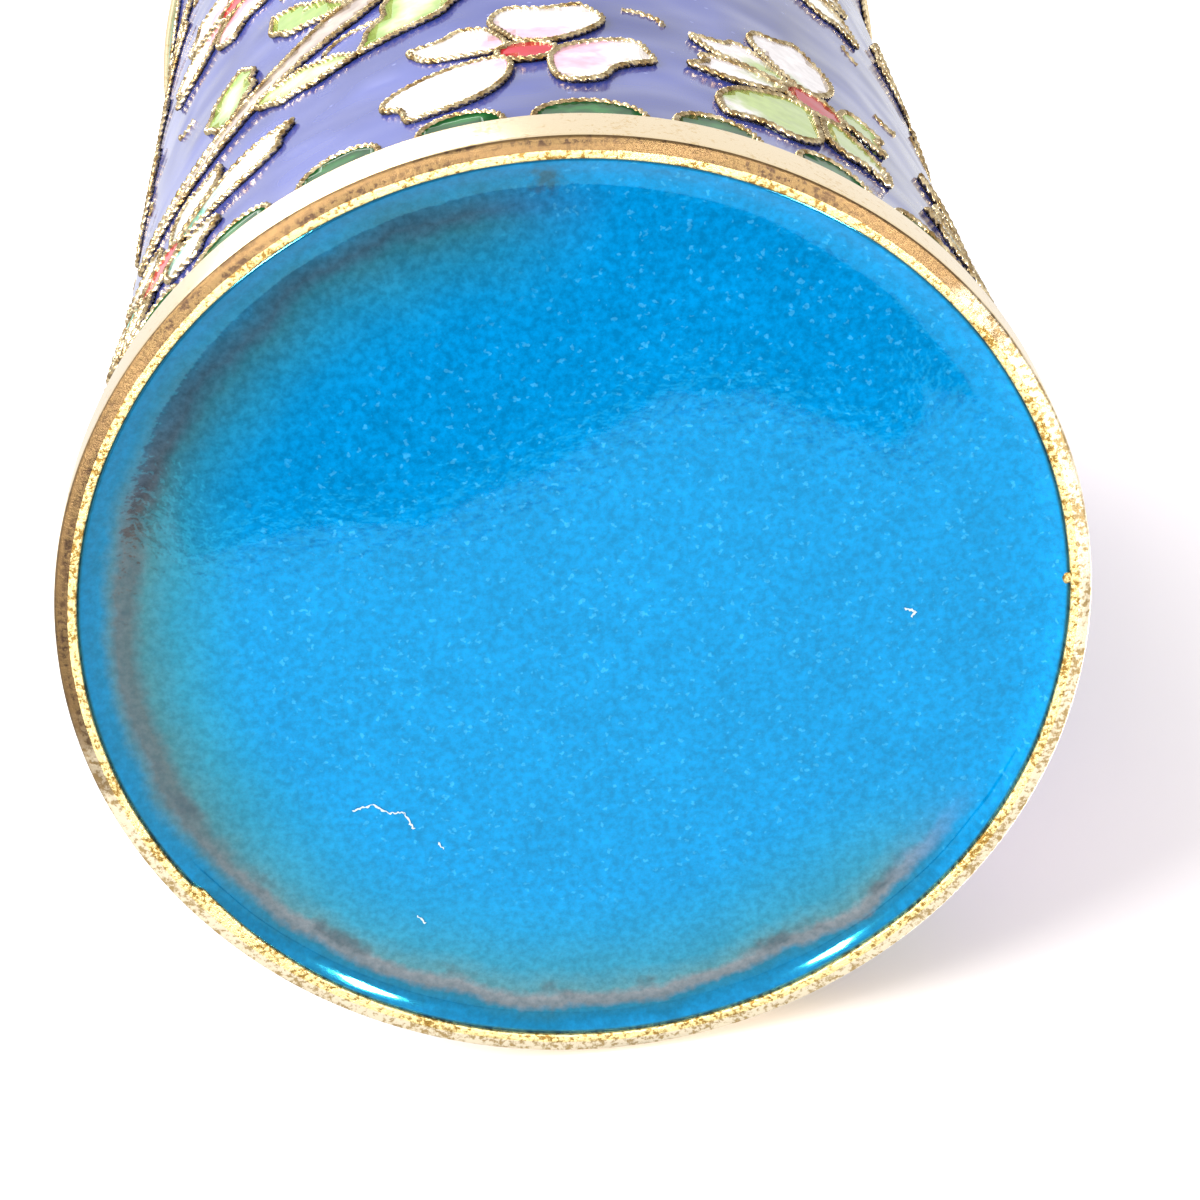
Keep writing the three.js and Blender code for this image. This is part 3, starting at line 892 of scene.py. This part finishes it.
class HOLDER_OT_ground(bpy.types.Operator):
    """Make the periwinkle ground that covers the wall between the rims"""
    bl_idname = "holder.ground"
    bl_label = "Ground enamel"

    def execute(self, context):
        sizes = context.scene.holder_sizes
        rows = 72
        heights = [FOOT_BAND + (MOUTH_EDGE - FOOT_BAND) * row / rows for row in range(rows + 1)]
        outer = [(ground_radius(z), z) for z in heights]
        inner = [(ground_radius(z) - GROUND_THICK, z) for z in reversed(heights[::8])]
        bm = turned(outer + inner, ring=True)
        depth = sizes.ripple_depth
        for vert in bm.verts:
            radius = vert.co.to_2d().length
            near_edge = min(vert.co.z - FOOT_BAND * MM, MOUTH_EDGE * MM - vert.co.z) / (2 * MM)
            if radius < (ground_radius(vert.co.z / MM) - 0.1) * MM or near_edge <= 0:
                continue
            wave = noise.noise(vert.co / sizes.ripple_size) * depth * min(1.0, near_edge)
            vert.co.x *= (radius + wave) / radius
            vert.co.y *= (radius + wave) / radius
        add_piece(bm, "ground_glass", [ground_glass()], ["ground_enamel"])
        return {"FINISHED"}


class HOLDER_OT_lining(bpy.types.Operator):
    """Make the turquoise lining inside, and give the copper between the enamels its finish"""
    bl_idname = "holder.lining"
    bl_label = "Lining enamel"

    def execute(self, context):
        skin = GROUND_THICK + COPPER_THICK
        inset = skin + LINING_THICK
        underside = LINING_LOW.z
        floor = underside + LINING_THICK
        rows = 24
        top = HEIGHT - MOUTH_CAP
        heights = [FOOT_BAND + (MOUTH_EDGE - FOOT_BAND) * row / rows for row in range(rows + 1)]
        outer = [(ground_radius(z) - skin, z) for z in heights]
        outer.append((ground_radius(MOUTH_EDGE) - skin, top))
        inner = [(ground_radius(z) - inset, z) for z in reversed(heights)]
        wall = inner[-1][0]
        fillet = 2.2
        cove = [(wall - fillet * (1 - math.cos(t)), floor + fillet * (1 - math.sin(t)))
                for t in (math.pi / 2 * step / 6 for step in range(7))]
        section = [(0.0, underside), (outer[0][0], underside), *outer,
                   (ground_radius(MOUTH_EDGE) - inset, top), *inner[:-1], *cove,
                   (20.0, floor), (8.0, floor), (0.0, floor)]
        glass = turquoise_glass("turquoise lining enamel", False)
        add_piece(turned(section), "lining_glass", [glass], ["lining_enamel"])
        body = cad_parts["copper_body"]
        for slot in body.material_slots:
            slot.material = sheet_copper()
        return {"FINISHED"}


class HOLDER_OT_base(bpy.types.Operator):
    """Make the turquoise base under the floor, with its meniscus against the foot rim"""
    bl_idname = "holder.base"
    bl_label = "Base enamel"

    def execute(self, context):
        recess = context.scene.holder_sizes.base_recess / MM
        rim = FOOT_INNER + 0.02
        flat = [(radius, recess) for radius in (0.0, 4.0, 9.0, 14.0, 19.0, 24.0)]
        face = [*flat, (27.5, recess + 0.03), (29.4, recess + 0.05), (30.4, recess),
                (31.0, recess - 0.07), (31.4, recess - 0.2), (31.8, recess - 0.41),
                (32.15, recess - 0.6), (rim, recess - 0.76)]
        section = [*face, (rim, COPPER_BASE), (0.0, COPPER_BASE)]
        bm = turned(section)
        for vert in bm.verts:
            if vert.co.z < (COPPER_BASE - 0.1) * MM:
                vert.co.z += noise.noise(vert.co / (5 * MM)) * 0.025 * MM
        glass = turquoise_glass("turquoise base enamel", True)
        add_piece(bm, "base_glass", [glass], ["base_enamel"])
        rng = random.Random(context.scene.holder_sizes.seed + 4)
        marks = bmesh.new()
        for mark in BASE_SCRATCHES:
            for (x0, y0), (x1, y1) in zip(mark, mark[1:]):
                start, end = Vector((x0, y0)), Vector((x1, y1))
                side = Vector((y0 - y1, x1 - x0)).normalized()
                pieces = max(2, int((end - start).length / 0.12))
                rows = []
                for i in range(pieces + 1):
                    middle = start.lerp(end, i / pieces) + side * rng.uniform(-0.06, 0.06)
                    half = side * rng.uniform(0.02, 0.1)
                    rows.append([marks.verts.new((*(spot * MM), (recess - 0.045) * MM))
                                 for spot in (middle - half, middle + half)])
                for (a, b), (c, d) in zip(rows, rows[1:]):
                    marks.faces.new((a, b, d, c))
        bmesh.ops.recalc_face_normals(marks, faces=marks.faces)
        # Chipped glass scatters light, so its small scratches look chalky white
        chalk, tree, _ = new_material("chipped enamel")
        surfaced(chalk, tree, "BsdfPrincipled", {"Base Color": linear(0xc8d8dc), "Roughness": 0.6})
        add_piece(marks, "base_scratches", [chalk])
        return {"FINISHED"}


class HOLDER_OT_blossoms(bpy.types.Operator):
    """Make the wired blossoms round the wall"""
    bl_idname = "holder.blossoms"
    bl_label = "Blossoms"

    def execute(self, context):
        rng = random.Random(context.scene.holder_sizes.seed)
        centre_glass = named_enamel("red centre enamel", 0xb0142a, 0xc43650, mottle=0.06, index=1.2)
        for panel in range(PANELS):
            for kind, flower in BLOSSOMS.items():
                glass = named_enamel(*PETAL_ENAMELS[kind], tone_from=0.25, tone_to=0.62)
                outlines = []
                across, up = flower["centre"]
                petals = flower["petals"]
                beaks = flower.get("beaks", (1, -1) * 3)
                if panel:
                    petals = [(direction + rng.uniform(-5, 5), reach * rng.uniform(0.95, 1.0), width, wash)
                              for direction, reach, width, wash in petals]
                for i, (direction, reach, width, _) in enumerate(petals):
                    gaps = ((direction - petals[i - 1][0]) % 360,
                            (petals[(i + 1) % len(petals)][0] - direction) % 360)
                    room = [math.radians(gap / 2) for gap in gaps]
                    turn = math.radians(direction)
                    start = 1 / math.hypot(math.cos(turn) / across, math.sin(turn) / up) - 0.05
                    outlines.append(petal_outline(direction, reach - 0.25, width, start, room,
                                                  beaks[i], rng))
                rim = [Vector((across * math.cos(t), up * math.sin(t)))
                       for t in (2 * math.pi * step / 20 for step in range(20))]
                cells = [(outline, 0, petal[3]) for outline, petal in zip(outlines, petals)]
                cells.append((rim, 1, 0))
                angle = flower["angle"] + panel * PANEL_TURN
                height = field_height(flower["height"])
                piece = f"blossom_{kind}_{panel + 1}"
                bm = fill_cells(cells, angle, height, middle=(0, 0))
                add_piece(bm, f"{piece}_glass", [glass, centre_glass], [piece])
                runs = wire_runs(outlines + [rim], angle, height, wire_rise())
                add_wires(f"{piece}_wires", runs)
        return {"FINISHED"}


class HOLDER_OT_boughs(bpy.types.Operator):
    """Make the boughs and sprigs with their leaves"""
    bl_idname = "holder.boughs"
    bl_label = "Boughs"

    def execute(self, context):
        rng = random.Random(context.scene.holder_sizes.seed + 1)
        bark = named_enamel("grey-brown bough enamel", 0x8d7f78, 0xb7a79c, tone_from=0.1)
        leaf_glass = named_enamel("leaf enamel", 0x86a348, 0xdcdcb4, tone_to=1.1)
        for panel in range(PANELS):
            for kind, branch in BOUGHS.items():
                run = bough_run(branch["stations"])
                outlines = [bough_outline(run, rng)]
                for share, direction, leaf_length, width, bend in branch["leaves"]:
                    turn = math.radians(direction)
                    clear = Vector((math.cos(turn), math.sin(turn))) * LEAF_CLEAR
                    base = point_along(run, share) + clear
                    outlines.append(leaf_outline(base, direction, leaf_length - LEAF_CLEAR, width, bend))
                cells = [(outlines[0], 0, 0)]
                cells += [(outline, 1, rng.uniform(-0.3, 0.4)) for outline in outlines[1:]]
                angle = branch["stations"][0][0] + panel * PANEL_TURN
                height = field_height(branch["stations"][0][1])
                piece = f"{kind}_{panel + 1}"
                bm = fill_cells(cells, angle, height)
                add_piece(bm, f"{piece}_glass", [bark, leaf_glass], [piece])
                runs = wire_runs(outlines, angle, height, wire_rise())
                add_wires(f"{piece}_wires", runs)
        return {"FINISHED"}


def arch_outlines(count, first, width, rise, grows, rng):
    """Arches standing side by side round the wall: an angle and an open outline for each."""
    arches = []
    for i in range(count):
        tall = rise * (1 + rng.uniform(-0.07, 0.05))
        # The arches were bent by hand, and the first is the widest
        wide = width * (rng.uniform(0.76, 0.96) if i else 1.0)
        arch = [Vector((-0.5 * wide * math.cos(t), grows * tall * math.sin(t) ** 0.85))
                for t in (math.pi * step / 20 for step in range(21))]
        arches.append((first + i * 360 / count, arch))
    return arches


class HOLDER_OT_borders(bpy.types.Operator):
    """Make the scallops on the foot band and the lappets under the mouth band"""
    bl_idname = "holder.borders"
    bl_label = "Borders"

    def execute(self, context):
        sizes = context.scene.holder_sizes
        rng = random.Random(sizes.seed + 2)
        green = enamel("dark green enamel", context.scene.holder_colours.scallop, linear(0x2c6a34),
                       mottle=0.2, index=1.15)
        borders = (
            ("foot_scallops", FOOT_BAND, SCALLOPS, SCALLOP_TURN, sizes.scallop_width / MM,
             sizes.scallop_rise / MM, 1),
            ("mouth_lappets", MOUTH_EDGE, LAPPETS, SCALLOP_TURN,
             2 * math.pi * WAIST_RADIUS / LAPPETS - 0.9, MOUTH_EDGE - LAPPET_LOW.z - 0.4, -1),
        )
        for node, edge, count, first, width, rise, grows in borders:
            whole = bmesh.new()
            runs = []
            for angle, arch in arch_outlines(count, first, width, rise, grows, rng):
                filled = fill_cells([(arch, 0, 0)], angle, edge)
                part = bpy.data.meshes.new("part")
                filled.to_mesh(part)
                filled.free()
                whole.from_mesh(part)
                bpy.data.meshes.remove(part)
                runs.extend(wire_runs([arch], angle, edge, wire_rise(), closed=False))
            add_piece(whole, f"{node}_glass", [green], [node])
            add_wires(f"{node}_wires", runs)
        return {"FINISHED"}


class HOLDER_OT_commas(bpy.types.Operator):
    """Make the short stray wires that keep the ground glass from cracking, nearly drowned in it"""
    bl_idname = "holder.commas"
    bl_label = "Comma wires"

    def execute(self, context):
        rng = random.Random(context.scene.holder_sizes.seed + 3)
        # Angle and height of places along the pattern
        pattern = []
        for flower in BLOSSOMS.values():
            for direction, reach, _, _ in flower["petals"]:
                turn = math.radians(direction)
                for share in (0.5, 0.8, 1.0):
                    pattern.append((
                        flower["angle"] + math.degrees(reach * share * math.cos(turn) / WAIST_RADIUS),
                        field_height(flower["height"]) + reach * share * math.sin(turn),
                    ))
        for branch in BOUGHS.values():
            run = bough_run(branch["stations"])
            root_angle, root_share, _ = branch["stations"][0]
            places = list(run)
            for share, direction, leaf_length, _, _ in branch["leaves"]:
                turn = math.radians(direction)
                rib = Vector((math.cos(turn), math.sin(turn))) * leaf_length
                places += [point_along(run, share) + rib * part for part in (0.0, 0.35, 0.7, 1.0)]
            pattern += [(root_angle + math.degrees(place.x / WAIST_RADIUS),
                         field_height(root_share) + place.y) for place in places]
        taken = [(angle + panel * PANEL_TURN, height) for angle, height in pattern
                 for panel in range(PANELS)]
        runs = []
        spots = [FRONT_COMMA]
        tries = 0
        while len(spots) < COMMAS and tries < 4000:
            tries += 1
            angle = rng.uniform(-150, -30)
            height = rng.uniform(SCALLOP_HIGH.z + 2.5, LAPPET_LOW.z - 2.5)
            near = min(math.hypot(
                math.radians((angle - other + 180) % 360 - 180) * WAIST_RADIUS, height - level,
            ) for other, level in taken)
            apart = min(math.hypot(math.radians(angle - other) * WAIST_RADIUS, height - level)
                        for other, level, _, _ in spots)
            if near > COMMA_CLEAR and apart > COMMA_APART:
                spots.append((angle, height, rng.uniform(60, 150), rng.uniform(1.4, 2.4)))
        for panel in range(PANELS):
            for spot in spots:
                angle, height, sweep, radius = spot
                first = rng.uniform(0, 2 * math.pi) if panel or spot != FRONT_COMMA else 0.1
                hook = [Vector((radius * math.cos(first + t), radius * 0.8 * math.sin(first + t)))
                        for t in (math.radians(sweep) * step / 12 for step in range(13))]
                runs.extend(wire_runs([hook], angle + panel * PANEL_TURN, height, -0.03, closed=False))
        add_wires("comma_wires", runs)
        return {"FINISHED"}


def one_sided(name, colour_value, glow):
    """A matt pale surface seen from its front only, with some glow to lighten its shadows."""
    material, tree, _ = new_material(name)
    matt = add_node(tree, "BsdfDiffuse", {"Color": colour_value})
    lit = add_node(tree, "AddShader", {0: matt, 1: add_node(tree, "Emission", {"Color": glow})})
    behind = add_node(tree, "NewGeometry", output="Backfacing")
    clear = add_node(tree, "BsdfTransparent")
    return surfaced(material, tree, "MixShader", {0: behind, 1: lit, 2: clear})


def only_mirrored(card):
    """Leaves a card to be seen in glossy surfaces alone."""
    card.visible_camera = False
    card.visible_diffuse = False
    card.visible_shadow = False
    card.visible_transmission = False


def stage_plane(name, corners, material):
    """A flat stage surface through four corners in metres."""
    bm = bmesh.new()
    bm.faces.new([bm.verts.new(corner) for corner in corners])
    mesh = bpy.data.meshes.new(name)
    bm.to_mesh(mesh)
    bm.free()
    mesh.materials.append(material)
    plane = bpy.data.objects.new(name, mesh)
    bpy.context.collection.objects.link(plane)
    return plane


def area_light(name, place, target, size, power, tint):
    """A rectangular light at a place, turned to its target; metres and watts."""
    light = bpy.data.lights.new(name, "AREA")
    light.shape = "RECTANGLE"
    light.size, light.size_y = size
    light.energy = power
    light.color = tint
    lamp = bpy.data.objects.new(name, light)
    lamp.location = place
    lamp.rotation_euler = (Vector(target) - Vector(place)).to_track_quat("-Z", "Y").to_euler()
    bpy.context.collection.objects.link(lamp)
    return lamp


class HOLDER_OT_stage(bpy.types.Operator):
    """Set the pale floor, the soft lights and the camera that looks at the base"""
    bl_idname = "holder.stage"
    bl_label = "Stage"

    def execute(self, context):
        scene = context.scene
        matt = one_sided("pale studio surface", scene.holder_colours.floor, (0.11, 0.08, 0.075, 1.0))
        back = TABLE_DISTANCE * MM
        ways = ((-1, -1), (1, -1), (1, 1), (-1, 1))
        for name, corners in (
            ("floor", [(a * STAGE_REACH, b * STAGE_REACH, 0) for a, b in ways]),
            ("backdrop", [(a * STAGE_REACH, back, b * STAGE_REACH) for a, b in ways]),
        ):
            surface = stage_plane(name, corners, matt)
            surface.visible_diffuse = False
            surface.visible_glossy = False
            surface.visible_shadow = False
            surface.visible_transmission = False
        eye = Vector(CAMERA_PLACE)
        dark, tree, _ = new_material("dark card")
        surfaced(dark, tree, "BsdfDiffuse", {"Color": linear(0x101418)})
        corners = []
        for x, y in DARK_PATCH:
            on_base = Vector((x, y, scene.holder_sizes.base_recess / MM))
            ray = on_base - eye
            ray.z = -ray.z
            corners.append((on_base + ray * ((TABLE_DISTANCE - y) / ray.y)) * MM)
        only_mirrored(stage_plane("dark_card", corners, dark))
        bright, tree, _ = new_material("bright card")
        surfaced(bright, tree, "Emission", {"Strength": 1.35})
        behind = (TABLE_DISTANCE + 1.5) * MM
        only_mirrored(stage_plane("bright_card", [(-0.25, behind, -0.3), (0.25, behind, -0.3),
                                                  (0.25, behind, -0.001), (-0.25, behind, -0.001)], bright))

        world = bpy.data.worlds.new("soft room")
        scene.world = world
        world.use_nodes = True
        background = world.node_tree.nodes["Background"]
        background.inputs["Color"].default_value = (1, 1, 1, 1)
        background.inputs["Strength"].default_value = 1.06
        area_light("window", (-0.62, -0.5, -0.32), (0, 0, 0.02), (0.5, 0.6), 11.0, (1.0, 0.985, 0.96))
        area_light("top_softbox", (-0.35, -0.45, 0.75), (0, 0, 0.05), (0.5, 0.5), 6.5, (1.0, 0.99, 0.97))
        area_light("back_softbox", (0.5, 0.65, 0.45), (0, 0, 0.05), (0.5, 0.5), 7.0, (0.97, 0.98, 1.0))
        for side, place in (("left", (0.12, -0.04, -0.256)), ("right", (-0.11, -0.053, -0.257))):
            glint = area_light(f"glint_{side}", place, (0, 0.028, 0.001), (0.022, 0.06), 0.8, (1, 1, 1))
            glint.visible_diffuse = False
        scene.view_settings.view_transform = "Standard"

        tilt = math.radians(CAMERA_TILT)
        roll = math.radians(CAMERA_ROLL)
        forward = Vector((0, math.sin(tilt), math.cos(tilt)))
        upward = Vector((0, -math.cos(tilt), math.sin(tilt)))
        right = forward.cross(upward)
        lens_right = math.cos(roll) * right + math.sin(roll) * upward
        lens_up = -math.sin(roll) * right + math.cos(roll) * upward
        camera_data = bpy.data.cameras.new("camera")
        camera_data.lens = CAMERA_LENS
        camera_data.sensor_width = CAMERA_SENSOR
        camera_data.clip_start = 0.01
        camera = bpy.data.objects.new("camera", camera_data)
        axes = Matrix((lens_right, lens_up, -forward)).transposed().to_4x4()
        camera.matrix_world = Matrix.Translation(eye * MM) @ axes
        bpy.context.collection.objects.link(camera)
        scene.camera = camera
        return {"FINISHED"}


class HOLDER_PT_panel(bpy.types.Panel):
    """Lists the holder's sizes, colours and pieces"""
    bl_idname = "HOLDER_PT_panel"
    bl_label = "Brush holder"
    bl_space_type = "VIEW_3D"
    bl_region_type = "UI"
    bl_category = "Brush holder"

    def draw(self, context):
        for group in (context.scene.holder_sizes, context.scene.holder_colours):
            for name in group.__annotations__:
                self.layout.prop(group, name)
        for operator in OPERATORS:
            self.layout.operator(operator.bl_idname)


OPERATORS = (
    HOLDER_OT_stage,
    HOLDER_OT_foot_rim,
    HOLDER_OT_mouth_rim,
    HOLDER_OT_ground,
    HOLDER_OT_lining,
    HOLDER_OT_base,
    HOLDER_OT_blossoms,
    HOLDER_OT_boughs,
    HOLDER_OT_borders,
    HOLDER_OT_commas,
)
CLASSES = (HolderSizes, HolderColours, *OPERATORS, HOLDER_PT_panel)


def register():
    for cls in CLASSES:
        bpy.utils.register_class(cls)
    bpy.types.Scene.holder_sizes = PointerProperty(type=HolderSizes)
    bpy.types.Scene.holder_colours = PointerProperty(type=HolderColours)


def unregister():
    del bpy.types.Scene.holder_colours
    del bpy.types.Scene.holder_sizes
    for cls in reversed(CLASSES):
        bpy.utils.unregister_class(cls)


def main():
    register()
    for operator in OPERATORS:
        group, name = operator.bl_idname.split(".")
        getattr(getattr(bpy.ops, group), name)()


if __name__ == "__main__":
    main()
